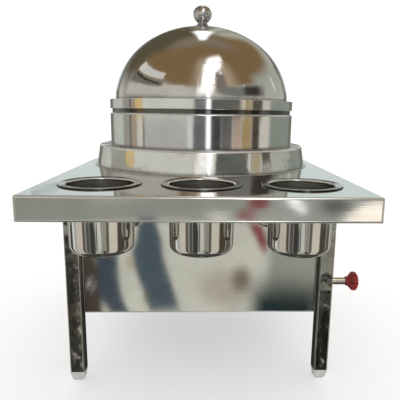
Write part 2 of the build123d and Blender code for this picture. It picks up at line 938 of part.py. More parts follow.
knob_screw = turned(
    valve_axis_plane,
    [
        (0, spindle_end - knob_screw_depth + 1),
        (knob_screw_radius, spindle_end - knob_screw_depth + 1),
        (knob_screw_radius, recess_floor),
        (knob_screw_head_radius, recess_floor),
        (knob_screw_head_radius, recess_floor + knob_screw_head),
        (0, recess_floor + knob_screw_head),
    ],
    [((knob_screw_head_radius, recess_floor + knob_screw_head), edge_round)],
)
save(knob_screw, "valve_knob_screw")
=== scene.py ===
import json
import math

import bpy
from mathutils import Matrix, Vector


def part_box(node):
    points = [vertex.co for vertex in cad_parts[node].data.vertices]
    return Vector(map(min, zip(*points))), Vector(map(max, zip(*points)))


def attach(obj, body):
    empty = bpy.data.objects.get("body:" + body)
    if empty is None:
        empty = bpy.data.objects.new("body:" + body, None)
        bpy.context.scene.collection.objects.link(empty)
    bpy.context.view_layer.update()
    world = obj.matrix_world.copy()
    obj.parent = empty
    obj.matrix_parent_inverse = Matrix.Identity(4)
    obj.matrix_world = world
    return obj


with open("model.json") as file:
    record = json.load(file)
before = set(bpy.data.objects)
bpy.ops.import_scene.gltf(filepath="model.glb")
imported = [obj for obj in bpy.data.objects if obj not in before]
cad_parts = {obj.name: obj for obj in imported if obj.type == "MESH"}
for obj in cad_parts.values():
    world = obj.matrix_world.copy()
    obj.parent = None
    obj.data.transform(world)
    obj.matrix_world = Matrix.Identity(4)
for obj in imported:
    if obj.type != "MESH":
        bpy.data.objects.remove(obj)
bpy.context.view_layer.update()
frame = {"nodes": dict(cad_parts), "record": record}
nodes = frame["nodes"]
scene = bpy.context.scene

X = Vector((1, 0, 0))
Y = Vector((0, 1, 0))
Z = Vector((0, 0, 1))

# Sizes and places read from the solids, in metres
TABLE_LOW, TABLE_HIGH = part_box("table_top")
HALF_W, HALF_D, TABLE_H = TABLE_HIGH
LIP_FOOT = TABLE_LOW.z
LEG_LOW, LEG_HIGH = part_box("leg_front_right")
TUBE = LEG_HIGH.x - LEG_LOW.x
LEG_X = LEG_LOW.x + TUBE / 2
LEG_YS = (LEG_LOW.y + TUBE / 2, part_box("leg_rear_right")[1].y - TUBE / 2)
LEGS_MIDDLE_Y = sum(LEG_YS) / 2
LEG_TOP = LEG_HIGH.z
RAIL_Z = LEG_TOP + TUBE / 2
COLLAR_LOW, COLLAR_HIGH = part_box("collar_ring")
DRUM_AXIS = (0.0, (COLLAR_LOW.y + COLLAR_HIGH.y) / 2)
BAND_LOW, BAND_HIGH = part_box("lid_band")

# Sizes of the solids that their boxes do not give, in metres
LIP_CORNER = 0.0040
TUBE_CORNER = 0.0024
DRUM_SHOULDER = 0.4512
DOME_RADIUS = 0.1670


# Shader helpers

NOISE_SPAN = (0.3, 0.7)
UNIT = (0.0, 1.0)


def start_material(name):
    """A new material, its node tree, its Principled shader and its texture coordinates."""
    mat = bpy.data.materials.new(name)
    mat.use_nodes = True
    tree = mat.node_tree
    return mat, tree, tree.nodes["Principled BSDF"], tree.nodes.new("ShaderNodeTexCoord")


def tune(mat, socket, value):
    """One value set on a material's Principled shader."""
    mat.node_tree.nodes["Principled BSDF"].inputs[socket].default_value = value


def scaled(tree, vector, scale):
    mapping = tree.nodes.new("ShaderNodeMapping")
    mapping.inputs["Scale"].default_value = scale
    tree.links.new(vector, mapping.inputs["Vector"])
    return mapping.outputs["Vector"]


def noise(tree, vector, scale, detail, rough=0.55):
    node = tree.nodes.new("ShaderNodeTexNoise")
    node.inputs["Scale"].default_value = scale
    node.inputs["Detail"].default_value = detail
    node.inputs["Roughness"].default_value = rough
    tree.links.new(vector, node.inputs["Vector"])
    return node.outputs["Fac"]


def mottled(tree, value, low, high):
    """Colour from low to high over the middle of a noise."""
    node = tree.nodes.new("ShaderNodeValToRGB")
    for element, place, colour in zip(node.color_ramp.elements, NOISE_SPAN, (low, high)):
        element.position = place
        element.color = (*colour, 1.0)
    tree.links.new(value, node.inputs["Fac"])
    return node.outputs["Color"]


def span(tree, value, low, high, over=NOISE_SPAN):
    """Number from low to high while a value runs over a range, and held beyond its ends."""
    node = tree.nodes.new("ShaderNodeMapRange")
    node.inputs["From Min"].default_value = over[0]
    node.inputs["From Max"].default_value = over[1]
    node.inputs["To Min"].default_value = low
    node.inputs["To Max"].default_value = high
    tree.links.new(value, node.inputs["Value"])
    return node.outputs["Result"]


def sums(tree, operation, first, second=0.0):
    """Math node on two sockets, or on a socket and a number."""
    node = tree.nodes.new("ShaderNodeMath")
    node.operation = operation
    for socket, value in zip(node.inputs, (first, second)):
        if isinstance(value, float):
            socket.default_value = value
        else:
            tree.links.new(value, socket)
    return node.outputs["Value"]


def vector_sums(tree, operation, first, second, output="Vector"):
    """Vector Math node on a socket and a socket or constant."""
    node = tree.nodes.new("ShaderNodeVectorMath")
    node.operation = operation
    tree.links.new(first, node.inputs[0])
    if isinstance(second, tuple):
        node.inputs[1].default_value = second
    else:
        tree.links.new(second, node.inputs[1])
    return node.outputs[output]


def parts_of(tree, vector):
    node = tree.nodes.new("ShaderNodeSeparateXYZ")
    tree.links.new(vector, node.inputs["Vector"])
    return node.outputs["X"], node.outputs["Y"], node.outputs["Z"]


def bump(tree, height, strength, distance, under=None):
    node = tree.nodes.new("ShaderNodeBump")
    node.inputs["Strength"].default_value = strength
    node.inputs["Distance"].default_value = distance
    tree.links.new(height, node.inputs["Height"])
    if under is not None:
        tree.links.new(under, node.inputs["Normal"])
    return node.outputs["Normal"]


def within(tree, value, low, high, soft):
    """1 while a value lies between low and high, falling to 0 over soft at both ends."""
    rise = span(tree, value, 0.0, 1.0, (low, low + soft))
    fall = span(tree, value, 1.0, 0.0, (high - soft, high))
    return sums(tree, "MULTIPLY", rise, fall)


def darkened(tree, colour, factor):
    """Colour multiplied by a grey factor socket."""
    shade = tree.nodes.new("ShaderNodeMix")
    shade.data_type = "RGBA"
    shade.blend_type = "MULTIPLY"
    shade.inputs["Factor"].default_value = 1.0
    tree.links.new(colour, shade.inputs["A"])
    tree.links.new(factor, shade.inputs["B"])
    return shade.outputs["Result"]


def stained(tree, colour, mask, shade):
    """Colour darkened down to a shade where the mask is 1."""
    return darkened(tree, colour, span(tree, mask, 1.0, shade, UNIT))


# Looks that the steels share

CLOUDS = (14.0, 0.10)
CLOUD_LIGHT = 1.06
# Painted shade in narrow gaps and inside corners
CREVICE_SHADE_REACH = 0.006
CREVICE_SHADE_SAMPLES = 6
CREVICE_SHADE_DARKEST = 0.12
CREVICE_SHADE_OPENNESS = (0.45, 0.95)
# Painted highlight along folds and rims, as a share taken off the metal
EDGE_HIGHLIGHT = 0.5
EDGE_START = (0.25, 0.45)
EDGE_END = (0.90, 0.98)
SMEAR_SCALE = (22.0, 22.0, 90.0)


def cloudy(tree, place, tone, clouds):
    """Steel colour with faint clouds in its polish, as (scale, depth)."""
    scale, depth = clouds
    light = tuple(min(1.0, c * CLOUD_LIGHT) for c in tone)
    dark = tuple(c * (1.0 - depth) for c in tone)
    return mottled(tree, noise(tree, place, scale, detail=4.0), dark, light)


def painted_crevice_shade(tree, colour):
    """Colour darkened in narrow gaps and inside corners: painted shade, found with an occlusion node."""
    shade = tree.nodes.new("ShaderNodeAmbientOcclusion")
    shade.samples = CREVICE_SHADE_SAMPLES
    shade.inputs["Distance"].default_value = CREVICE_SHADE_REACH
    return darkened(tree, colour, span(tree, shade.outputs["AO"], CREVICE_SHADE_DARKEST, 1.0, CREVICE_SHADE_OPENNESS))


def painted_edge_highlight(tree, shader, coordinates, edge_highlight):
    """Bare metal, with a painted highlight along folds and rims, where the surface turns from upright to
    level: it is made less metallic there, so that it shows pale.
    """
    if not edge_highlight:
        shader.inputs["Metallic"].default_value = 1.0
        return
    rise = parts_of(tree, coordinates.outputs["Normal"])[2]
    begins = span(tree, rise, 0.0, 1.0, EDGE_START)
    ends = span(tree, rise, 1.0, 0.0, EDGE_END)
    edge = sums(tree, "MULTIPLY", begins, ends)
    tree.links.new(span(tree, edge, 1.0, 1.0 - edge_highlight, UNIT), shader.inputs["Metallic"])


def smeared(tree, place, rough):
    """Roughness between two values, in wiping marks."""
    smear = noise(tree, scaled(tree, place, SMEAR_SCALE), 1.0, detail=5.0, rough=0.6)
    return span(tree, smear, *rough)


def uneven(tree, shader, place, dents, marks, strength, depth):
    """Surface with shallow dents, as (scale, depth), under fine marks in the polish."""
    scale, dent_depth = dents
    wave = bump(tree, noise(tree, place, scale, detail=2.0, rough=0.4), 1.0, dent_depth)
    tree.links.new(bump(tree, marks, strength, depth, wave), shader.inputs["Normal"])


# Sheet and tube

LINE_SCALE = (12.0, 12.0, 900.0)
LINE_STRENGTH = 0.4
LINE_DEPTH = 0.00002
# Painted shade on the legs, in the gaps where the panels meet them
LEG_SHADE_REACH = 0.0016
LEG_SHADE_DARKEST = 0.35
LEG_SHADE_CLEARANCE = 0.0004


def painted_leg_shade(tree, place, colour):
    """Colour darkened on the sides of the legs that face one another, where the panels meet them: painted
    shade in the gaps.
    """
    x, y, z = parts_of(tree, place)
    facing_x = LEG_X - TUBE / 2 + LEG_SHADE_CLEARANCE
    facing_y = LEG_YS[1] - LEGS_MIDDLE_Y - TUBE / 2 + LEG_SHADE_CLEARANCE
    across = sums(tree, "ABSOLUTE", x)
    along = sums(tree, "ABSOLUTE", sums(tree, "SUBTRACT", y, LEGS_MIDDLE_Y))
    between = sums(tree, "MINIMUM",
                   span(tree, across, LEG_SHADE_DARKEST, 1.0, (facing_x, facing_x + LEG_SHADE_REACH)),
                   span(tree, along, LEG_SHADE_DARKEST, 1.0, (facing_y, facing_y + LEG_SHADE_REACH)))
    above = span(tree, z, 0.0, 1.0, (LEG_TOP - LEG_SHADE_REACH, LEG_TOP))
    return darkened(tree, colour, sums(tree, "MAXIMUM", between, above))


def sheet(name, tone, rough, dents, clouds=CLOUDS, edge_highlight=EDGE_HIGHLIGHT, leg_shade=False):
    """Buffed stainless sheet or tube, with wiping marks and level polishing lines. Rough is its lowest and
    highest roughness."""
    mat, tree, shader, coordinates = start_material(name)
    place = coordinates.outputs["Object"]
    # Painted highlight along folds and rims
    painted_edge_highlight(tree, shader, coordinates, edge_highlight)
    # Steel colour, with painted shade in its gaps and corners
    colour = painted_crevice_shade(tree, cloudy(tree, place, tone, clouds))
    # Painted shade on the inner sides of the legs
    if leg_shade:
        colour = painted_leg_shade(tree, place, colour)
    tree.links.new(colour, shader.inputs["Base Color"])
    tree.links.new(smeared(tree, place, rough), shader.inputs["Roughness"])
    lines = noise(tree, scaled(tree, place, LINE_SCALE), 1.0, detail=2.0)
    uneven(tree, shader, place, dents, lines, LINE_STRENGTH, LINE_DEPTH)
    return mat


# Spun pieces

SPUN_DENTS = (5.0, 0.0006)
SPIN_PITCH = 700.0
SPIN_STRENGTH = 0.3
SPIN_DEPTH = 0.00003
QUARTER_TURN = 0.25
GROOVE_SOFT = 0.0008
RING_SOFT = 0.0006
WALL_FACING = (-0.012, -0.002)
FLOOR_FACING = (0.2, 0.6)
WELL_SOFT = 0.005
RIM_SOFT = 0.002


def drawn_out(tree, shader, stretch):
    """Highlights drawn out across the rings that a lathe leaves round a vertical axis."""
    shader.inputs["Anisotropic"].default_value = stretch
    shader.inputs["Anisotropic Rotation"].default_value = QUARTER_TURN
    round_axis = tree.nodes.new("ShaderNodeTangent")
    round_axis.direction_type = "RADIAL"
    round_axis.axis = "Z"
    tree.links.new(round_axis.outputs["Tangent"], shader.inputs["Tangent"])


def inside_mask(tree, coordinates, arm, height, top):
    """1 on the inside of a vessel below the height top, and 0 outside. Arm points away from its axis."""
    facing = coordinates.outputs["Normal"]
    outward = vector_sums(tree, "DOT_PRODUCT", arm, facing, "Value")
    wall = span(tree, outward, 1.0, 0.0, WALL_FACING)
    bottom = span(tree, parts_of(tree, facing)[2], 0.0, 1.0, FLOOR_FACING)
    below = span(tree, height, 1.0, 0.0, (top - WELL_SOFT, top))
    return sums(tree, "MULTIPLY", sums(tree, "MAXIMUM", wall, bottom), below)


def spun(name, tone, rough, axis, stretch, dents=SPUN_DENTS, edge_highlight=EDGE_HIGHLIGHT, groove_shade=None, shade_rings=(), well=None):
    """Stainless spun on a lathe about a vertical axis, with rings in the polish. Rough is its lowest and
    highest roughness. A groove shade, as (bottom, top, shade), is painted shade between two heights. Shade
    rings are a row of rings of painted shade, as (inner radius, outer radius, shade). A well, as (top,
    shade, roughness, rim roughness), has painted shade and a duller finish inside below that height, and a
    duller rim above it."""
    mat, tree, shader, coordinates = start_material(name)
    place = coordinates.outputs["Object"]
    height = parts_of(tree, place)[2]
    arm = vector_sums(tree, "SUBTRACT", place, (*axis, 0.0))
    arm = vector_sums(tree, "MULTIPLY", arm, (1.0, 1.0, 0.0))
    radius = vector_sums(tree, "LENGTH", arm, (0.0, 0.0, 0.0), "Value")
    # Painted highlight along folds and rims
    painted_edge_highlight(tree, shader, coordinates, edge_highlight)
    drawn_out(tree, shader, stretch)
    colour = cloudy(tree, place, tone, CLOUDS)
    roughness = smeared(tree, place, rough)
    if well is None:
        # Painted shade in gaps and corners, everywhere but on the bowls
        colour = painted_crevice_shade(tree, colour)
    # Painted shade in a groove between two heights
    if groove_shade is not None:
        bottom, top, shade = groove_shade
        colour = stained(tree, colour, within(tree, height, bottom, top, GROOVE_SOFT), shade)
    # Rings of painted shade
    for inner, outer, shade in shade_rings:
        colour = stained(tree, colour, within(tree, radius, inner, outer, RING_SOFT), shade)
    if well is not None:
        top, shade, dull, rim_dull = well
        inside = inside_mask(tree, coordinates, arm, height, top)
        rim = span(tree, height, 0.0, rim_dull, (top - RIM_SOFT, top))
        # Painted shade inside the vessel, below its top
        colour = stained(tree, colour, inside, shade)
        roughness = sums(tree, "MAXIMUM", roughness, sums(tree, "MULTIPLY", inside, dull))
        roughness = sums(tree, "MAXIMUM", roughness, rim)
    tree.links.new(colour, shader.inputs["Base Color"])
    tree.links.new(roughness, shader.inputs["Roughness"])
    profile = tree.nodes.new("ShaderNodeCombineXYZ")
    tree.links.new(radius, profile.inputs["X"])
    tree.links.new(height, profile.inputs["Y"])
    rings = noise(tree, profile.outputs["Vector"], SPIN_PITCH, detail=2.0)
    uneven(tree, shader, place, dents, rings, SPIN_STRENGTH, SPIN_DEPTH)
    return mat


# Moulded, cast and plated pieces

MOTTLE_SCALE = 60.0
ROUGH_SPREAD = (0.8, 1.25)
GRAIN_STRENGTH = 0.5


def plain(name, low, high, roughness, metallic=0.0, grain=300.0, depth=0.0001):
    """Moulded, cast or plated finish with mottled colour and a fine grain."""
    mat, tree, shader, coordinates = start_material(name)
    place = coordinates.outputs["Object"]
    shader.inputs["Metallic"].default_value = metallic
    mottle = noise(tree, place, MOTTLE_SCALE, detail=4.0)
    tree.links.new(mottled(tree, mottle, low, high), shader.inputs["Base Color"])
    spread = [roughness * share for share in ROUGH_SPREAD]
    tree.links.new(span(tree, mottle, *spread), shader.inputs["Roughness"])
    speck = noise(tree, place, grain, detail=2.0)
    tree.links.new(bump(tree, speck, GRAIN_STRENGTH, depth), shader.inputs["Normal"])
    return mat


# Materials of the pieces

STEEL = (0.67, 0.665, 0.645)
# Painted shade in the drum's neck, under the lid's band
DRUM_GROOVE_SHADE = (DRUM_SHOULDER, BAND_LOW.z, 0.22)
# Painted shade on the bowls' brims and under their rolled beads
BOWL_SHADE_RINGS = ((0.0490, 0.0562, 0.55), (0.0574, 0.0600, 0.25))
# Bowls' insides: painted shade and a duller finish below the table
BOWL_WELL = (TABLE_H + 0.001, 0.95, 0.20, 0.10)
sheet_steel = sheet("sheet_steel", STEEL, rough=(0.035, 0.06), dents=(4.0, 0.0005))
table_steel = sheet("table_steel", STEEL, rough=(0.045, 0.08), dents=(5.0, 0.0006), edge_highlight=0.35)
# Tube for legs and rails, with painted shade where the panels meet the legs
tube_steel = sheet("tube_steel", (0.60, 0.595, 0.57), rough=(0.05, 0.12), dents=(30.0, 0.0013),
                   clouds=(55.0, 0.35), leg_shade=True)
satin_steel = sheet("satin_steel", (0.58, 0.60, 0.63), rough=(0.24, 0.32), dents=(40.0, 0.0001), edge_highlight=0.0)
drum_steel = spun("drum_steel", STEEL, (0.09, 0.14), DRUM_AXIS, stretch=0.45, groove_shade=DRUM_GROOVE_SHADE)
collar_steel = spun("collar_steel", STEEL, (0.07, 0.12), DRUM_AXIS, stretch=0.3, dents=(26.0, 0.0010))
dome_steel = spun("dome_steel", STEEL, (0.06, 0.11), DRUM_AXIS, stretch=0.25, edge_highlight=0.0)
pan_steel = spun("pan_steel", (0.60, 0.585, 0.555), (0.16, 0.26), DRUM_AXIS, stretch=0.3)
weld_steel = plain("weld_steel", (0.50, 0.49, 0.46), (0.70, 0.69, 0.66), 0.30, metallic=0.8, grain=900.0)
red_plastic = plain("red_plastic", (0.17, 0.005, 0.006), (0.31, 0.013, 0.015), 0.12)
tune(red_plastic, "Specular IOR Level", 0.8)

slot_materials = {
    "polished_steel": sheet_steel,
    "foot_plastic": plain("white_plastic", (0.44, 0.45, 0.44), (0.58, 0.59, 0.57), 0.42),
    "knob_plastic": red_plastic,
    "brass": plain("brass", (0.55, 0.38, 0.15), (0.72, 0.54, 0.26), 0.32, metallic=1.0),
    "cast_iron": plain("cast_iron", (0.035, 0.034, 0.033), (0.09, 0.085, 0.08), 0.75, 0.6, 420.0, 0.0004),
    "pipe_aluminium": plain("aluminium", (0.62, 0.62, 0.63), (0.78, 0.78, 0.79), 0.34, metallic=1.0),
    "bright_plate": plain("nickel", (0.70, 0.66, 0.58), (0.82, 0.78, 0.70), 0.2, metallic=1.0),
    "plated_steel": plain("zinc", (0.46, 0.46, 0.45), (0.62, 0.62, 0.60), 0.42, metallic=1.0),
}
own_materials = {
    "table_top": table_steel,
    "steam_drum": drum_steel,
    "collar_ring": collar_steel,
    "lid_band": drum_steel,
    "lid_dome": dome_steel,
    "lid_knob": satin_steel,
    "corn_tray": pan_steel,
    "boiler_pan": pan_steel,
}
for bowl in ("bowl_left", "bowl_middle", "bowl_right"):
    low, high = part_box(bowl)
    axis = ((low.x + high.x) / 2, (low.y + high.y) / 2)
    own_materials[bowl] = spun(f"{bowl}_steel", STEEL, (0.05, 0.09), axis, stretch=0.2,
                               shade_rings=BOWL_SHADE_RINGS, well=BOWL_WELL)
for name in nodes:
    if name.startswith(("leg_", "rail_")):
        own_materials[name] = tube_steel
for entry in frame["record"]["subparts"]:
    materials = nodes[entry["node"]].data.materials
    materials.clear()
    materials.append(own_materials.get(entry["node"], slot_materials[entry["material_slot"]]))


# Detail pieces: hems, folds and weld beads as round bars along a path

BEAD_SIDES = 10
BEAD_STEP = 0.0012
PLAIN_STEP = 0.01
CORNER_STEPS = 4
RIPPLE_LENGTH = 4
NEARLY_UPRIGHT = 0.01


def bar_mesh(path, radius, closed, ripple):
    """Vertices and faces of a round bar along a path. Ripple thins it in steps, like a weld's scales."""
    count = len(path)
    verts = []
    faces = []
    for i, point in enumerate(path):
        after = path[(i + 1) % count] if closed or i + 1 < count else point
        before = path[i - 1] if closed or i > 0 else point
        along = (after - before).normalized()
        level = along.cross(Z)
        level = level.normalized() if level.length > NEARLY_UPRIGHT else X
        raised = level.cross(along)
        thin = radius * (1.0 - ripple * (i % RIPPLE_LENGTH) / RIPPLE_LENGTH)
        for k in range(BEAD_SIDES):
            turn = 2.0 * math.pi * k / BEAD_SIDES
            verts.append(point + thin * (math.cos(turn) * level + math.sin(turn) * raised))
    for i in range(count if closed else count - 1):
        start = i * BEAD_SIDES
        end = (i + 1) % count * BEAD_SIDES
        for k in range(BEAD_SIDES):
            beside = (k + 1) % BEAD_SIDES
            faces.append((start + k, end + k, end + beside, start + beside))
    if not closed:
        faces.append(tuple(range(BEAD_SIDES)))
        faces.append(tuple(reversed(range((count - 1) * BEAD_SIDES, count * BEAD_SIDES))))
    return verts, faces


def beads(name, body, material, paths, radius, closed=False, ripple=0.0):
    """One piece made of a bar along each path, riding on a body."""
    verts = []
    faces = []
    for path in paths:
        more_verts, more_faces = bar_mesh(path, radius, closed, ripple)
        faces += [tuple(len(verts) + k for k in face) for face in more_faces]
        verts += more_verts
    mesh = bpy.data.meshes.new(name)
    mesh.from_pydata(verts, [], faces)
    mesh.polygons.foreach_set("use_smooth", [True] * len(mesh.polygons))
    mesh.materials.append(material)
    obj = bpy.data.objects.new(name, mesh)
    scene.collection.objects.link(obj)
    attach(obj, body)


def straight(start, end, step=BEAD_STEP):
    start = Vector(start)
    end = Vector(end)
    count = max(2, math.ceil((end - start).length / step))
    return [start.lerp(end, i / count) for i in range(count + 1)]


def ring(radius, z):
    """Closed path round the drum's axis."""
    count = math.ceil(2.0 * math.pi * radius / BEAD_STEP)
    turns = [2.0 * math.pi * i / count for i in range(count)]
    x, y = DRUM_AXIS
    return [Vector((x + radius * math.cos(turn), y + radius * math.sin(turn), z)) for turn in turns]


def rounded_rectangle(middle, half_a, half_b, corner, side_a, side_b, step=BEAD_STEP):
    """Closed path round a rectangle with rounded corners, in the plane of two unit vectors."""
    path = []
    for quarter, (sign_a, sign_b) in enumerate(((1, 1), (-1, 1), (-1, -1), (1, -1))):
        for i in range(CORNER_STEPS + 1):
            turn = (quarter + i / CORNER_STEPS) * math.pi / 2
            across = sign_a * (half_a - corner) + corner * math.cos(turn)
            along = sign_b * (half_b - corner) + corner * math.sin(turn)
            path.append(middle + across * side_a + along * side_b)
    dense = []
    for i, point in enumerate(path):
        dense += straight(point, path[(i + 1) % len(path)], step)[:-1]
    return dense


# Rolled foot of the table's lip
HEM_RADIUS = 0.0015
HEM_INSET = 0.0010
hem = rounded_rectangle(Vector((0, 0, LIP_FOOT + HEM_RADIUS)), HALF_W - HEM_INSET, HALF_D - HEM_INSET,
                        LIP_CORNER - HEM_INSET, X, Y, PLAIN_STEP)
beads("lip_hem", "base", table_steel, [hem], HEM_RADIUS, closed=True)

# Closed corners of the folded lip
SEAM_RADIUS = 0.0008
FINE_RIPPLE = 0.3
CORNER_SINK = 0.0004
CORNER_END_GAP = 0.003
corner_in = LIP_CORNER * (1.0 - math.sqrt(0.5)) + CORNER_SINK
corner_welds = []
for x in (corner_in - HALF_W, HALF_W - corner_in):
    for y in (corner_in - HALF_D, HALF_D - corner_in):
        corner_welds.append(straight((x, y, LIP_FOOT + CORNER_END_GAP), (x, y, TABLE_H - CORNER_END_GAP)))
beads("corner_welds", "base", weld_steel, corner_welds, SEAM_RADIUS, ripple=FINE_RIPPLE)

# Weld round the foot of the collar
COLLAR_WELD_RADIUS = 0.0009
COLLAR_WELD_OUT = 0.0002
COLLAR_WELD_UP = 0.0004
COARSE_RIPPLE = 0.35
collar_foot = ring(COLLAR_HIGH.x + COLLAR_WELD_OUT, TABLE_H + COLLAR_WELD_UP)
beads("collar_weld", "base", weld_steel, [collar_foot], COLLAR_WELD_RADIUS, True, COARSE_RIPPLE)

# Seams down the backs of the rolled rings, each from one (radius, height) to another
THIN_SEAM_RADIUS = 0.0007
SEAM_SINK = 0.0002
WALL_RADIUS = BAND_HIGH.x - SEAM_SINK
COLLAR_SEAM = ((0.2046, TABLE_H + 0.0020), (0.1994, TABLE_H + 0.0345))
DRUM_SEAM = ((WALL_RADIUS, 0.3940), (WALL_RADIUS, 0.4470))
BAND_SEAM = ((WALL_RADIUS, 0.4600), (WALL_RADIUS, 0.4742))
for name, body, seam, bead_radius in (
    ("collar_seam", "base", COLLAR_SEAM, SEAM_RADIUS),
    ("drum_seam", "drum", DRUM_SEAM, SEAM_RADIUS),
    ("band_seam", "lid", BAND_SEAM, THIN_SEAM_RADIUS),
):
    ends = [(DRUM_AXIS[0], DRUM_AXIS[1] + radius, z) for radius, z in seam]
    beads(name, body, weld_steel, [straight(*ends)], bead_radius, ripple=FINE_RIPPLE)

# Seam round the foot of the dome
DOME_SEAM_OUT = 0.0001
DOME_SEAM_UP = 0.0002
dome_foot = ring(DOME_RADIUS + DOME_SEAM_OUT, BAND_HIGH.z + DOME_SEAM_UP)
beads("dome_seam", "lid", weld_steel, [dome_foot], THIN_SEAM_RADIUS, True, FINE_RIPPLE)

# Welds where the legs and cross rails meet
FRAME_WELD_RADIUS = 0.0011
frame_welds = []
for y in LEG_YS:
    for side in (-1, 1):
        leg_end = Vector((side * LEG_X, y, LEG_TOP))
        rail_end = Vector((side * (LEG_X - TUBE / 2), y, RAIL_Z))
        frame_welds.append(rounded_rectangle(leg_end, TUBE / 2, TUBE / 2, TUBE_CORNER, X, Y))
        frame_welds.append(rounded_rectangle(rail_end, TUBE / 2, TUBE / 2, TUBE_CORNER, Y, Z))
beads("frame_welds", "base", weld_steel, frame_welds, FRAME_WELD_RADIUS, True, COARSE_RIPPLE)

# Short welds between the folded edges of the panels and the legs
STITCH_RADIUS = 0.0012
STITCH_LENGTH = 0.016
STITCH_HEIGHTS = (0.140, 0.217, 0.294)
STITCH_SINK = 0.0001
leg_inner_x = LEG_X - TUBE / 2 - STITCH_SINK
side_fold_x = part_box("right_panel")[0].x
stitch_places = (
    (leg_inner_x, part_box("front_panel")[1].y),
    (leg_inner_x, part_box("rear_panel")[0].y),
    (side_fold_x, LEG_YS[0] + TUBE / 2),
    (side_fold_x, LEG_YS[1] - TUBE / 2),
)
stitches = []
for z in STITCH_HEIGHTS:
    for side in (-1, 1):
        for x, y in stitch_places:
            foot = Vector((side * x, y, z))
            stitches.append(straight(foot, foot + STITCH_LENGTH * Z))
beads("panel_welds", "base", weld_steel, stitches, STITCH_RADIUS, ripple=COARSE_RIPPLE)

# Rounded folds round the faces of the four panels
FOLD_RADIUS = 0.0010
FOLD_INSET = 0.0006
FOLD_CORNER = 0.0020
folds = []
for panel, along, outward in (("front_panel", X, -Y), ("rear_panel", X, Y),
                              ("left_panel", Y, -X), ("right_panel", Y, X)):
    low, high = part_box(panel)
    half = (high - low) / 2
    face = (low + high) / 2 + (abs(half.dot(outward)) - FOLD_INSET) * outward
    folds.append(rounded_rectangle(face, half.dot(along) - FOLD_INSET, half.z - FOLD_INSET, FOLD_CORNER,
                                   along, Z, PLAIN_STEP))
beads("panel_folds", "base", sheet_steel, folds, FOLD_RADIUS, closed=True)


# Studio: what the polished steel mirrors, as soft-edged cards seen by glossy rays alone

FAR_ROOM = (Vector((0.0, 0.0, 0.40)), 40.0, 0.02)
NEAR_ROOM = (Vector((*DRUM_AXIS, 0.37)), 0.85, 0.001)
CARD_STEP = 4.0
FADE_STEPS = 4
BAND_STEPS = 8
BLOB_SIDES = 24
room_layers = []


def emitter(name, colour, strength):
    """Light of one colour that thins out where the card's fade attribute falls to zero."""
    mat = bpy.data.materials.new(name)
    mat.use_nodes = True
    tree = mat.node_tree
    tree.nodes.clear()
    light = tree.nodes.new("ShaderNodeEmission")
    light.inputs["Color"].default_value = (*colour, 1.0)
    light.inputs["Strength"].default_value = strength
    clear = tree.nodes.new("ShaderNodeBsdfTransparent")
    fade = tree.nodes.new("ShaderNodeAttribute")
    fade.attribute_name = "fade"
    mix = tree.nodes.new("ShaderNodeMixShader")
    out = tree.nodes.new("ShaderNodeOutputMaterial")
    tree.links.new(fade.outputs["Fac"], mix.inputs[0])
    tree.links.new(clear.outputs["BSDF"], mix.inputs[1])
    tree.links.new(light.outputs["Emission"], mix.inputs[2])
    tree.links.new(mix.outputs["Shader"], out.inputs["Surface"])
    return mat


def smooth(t):
    t = min(1.0, max(0.0, t))
    return t * t * (3.0 - 2.0 * t)


def hang(name, grid, colour, strength=1.0, near=False):
    """A card from rows of (azimuth, elevation, fade), on a sphere round the machine. Azimuth 0 is in
    front and 90 the operator's right. Each card hangs in front of the ones before it. Near ones stand
    round the collar at arm's length, so that the pieces above and below see them elsewhere."""
    centre, radius, step = NEAR_ROOM if near else FAR_ROOM
    radius -= step * len(room_layers)
    room_layers.append(name)
    verts = []
    fades = []
    for row in grid:
        for azimuth, elevation, fade in row:
            turn = math.radians(azimuth)
            rise = math.radians(elevation)
            level = math.cos(rise)
            ray = Vector((math.sin(turn) * level, -math.cos(turn) * level, math.sin(rise)))
            verts.append(centre + radius * ray)
            fades.append(fade)
    width = len(grid[0])
    faces = []
    for j in range(len(grid) - 1):
        for i in range(width - 1):
            k = j * width + i
            faces.append((k, k + 1, k + width + 1, k + width))
    mesh = bpy.data.meshes.new(name)
    mesh.from_pydata(verts, [], faces)
    mesh.attributes.new("fade", "FLOAT", "POINT").data.foreach_set("value", fades)
    obj = bpy.data.objects.new(name, mesh)
    scene.collection.objects.link(obj)
    mesh.materials.append(emitter(name, colour, strength))
    obj.visible_camera = False
    obj.visible_diffuse = False
    obj.visible_shadow = False
    obj.visible_transmission = False


def card_lines(low, high, soft):
    """Grid lines from low to high as (place, fade): fade rises from 0 to 1 over soft at both ends."""
    inner = high - low - 2.0 * soft
    count = max(1, math.ceil(inner / CARD_STEP))
    middle = [(low + soft + inner * i / count, 1.0) for i in range(count + 1)]
    if soft <= 0.0:
        return middle
    edge = [(soft * i / FADE_STEPS, smooth(i / FADE_STEPS)) for i in range(FADE_STEPS)]
    return [(low + t, f) for t, f in edge] + middle + [(high - t, f) for t, f in reversed(edge)]


def card(name, azimuth, elevation, colour, soft=(0, 0), strength=1.0, tilt=0.0, near=False):
    """Rectangle of the room. Soft is the width of its fading edges, and tilt lowers or raises it along
    its length, in degrees of elevation for each degree of azimuth."""
    columns = card_lines(*azimuth, soft[0])
    grid = []
    for height, row in card_lines(*elevation, soft[1]):
        grid.append([(place, height + tilt * (place - azimuth[0]), row * column)
                     for place, column in columns])
    hang(name, grid, colour, strength, near)


def cards(rows, elevation, soft, near=False):
    """Cards side by side at one height, as (name, azimuth, colour, soft width) rows."""
    for name, azimuth, colour, soft_width in rows:
        card(name, azimuth, elevation, colour, (soft_width, soft), near=near)


